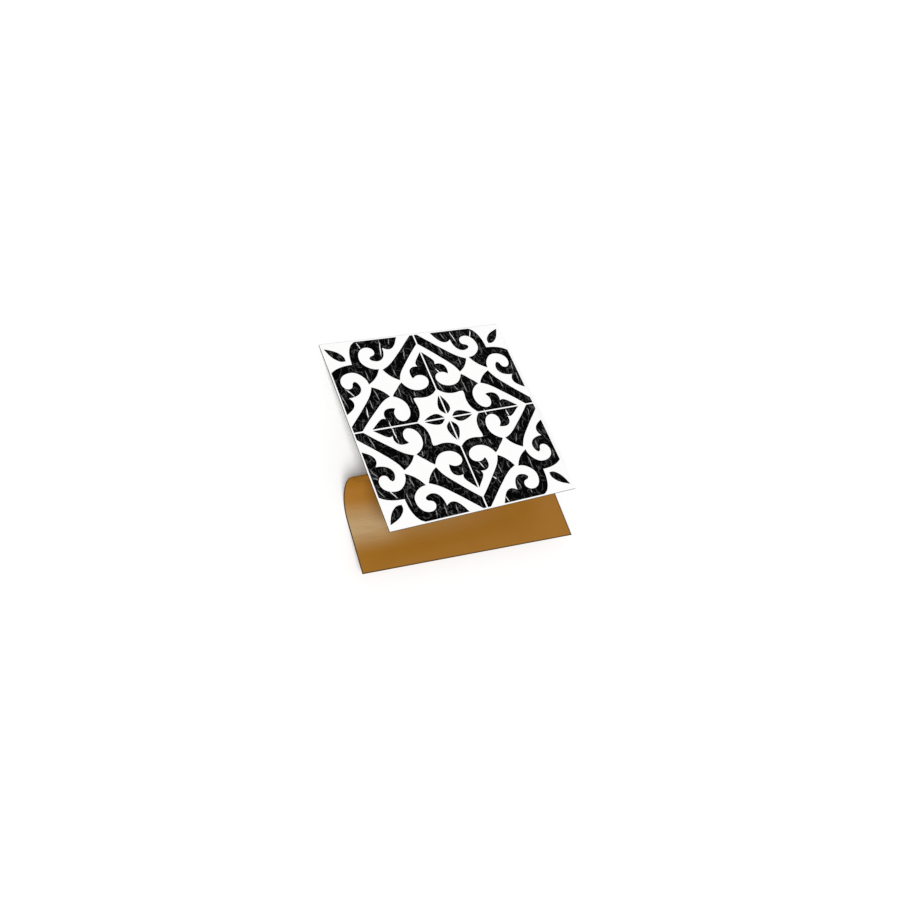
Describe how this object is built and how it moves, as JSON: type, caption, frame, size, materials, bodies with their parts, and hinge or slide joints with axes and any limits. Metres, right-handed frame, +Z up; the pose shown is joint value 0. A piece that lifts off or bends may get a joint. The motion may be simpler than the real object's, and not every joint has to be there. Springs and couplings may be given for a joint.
{
  "type": "vinyl floor tile",
  "caption": "Thin square peel-and-stick vinyl floor tile with a black and white scroll pattern, leaning on its skewed, folded-back paper release liner.",
  "frame": {"origin": "middle of the footprint of the tile and its liner, on the level floor it rests on", "axes": "+X to the right along the tile's front edge, +Y towards its back edge, which lies on the floor, +Z up"},
  "size_m": [0.3506, 0.3586, 0.0748],
  "materials": {
    "printed_vinyl": "satin vinyl, white with a black printed pattern",
    "kraft_liner": "brown kraft paper with a soft coated sheen"
  },
  "bodies": {
    "root": {"vinyl_tile": "printed_vinyl", "release_liner": "kraft_liner"}
  },
  "joints": []
}
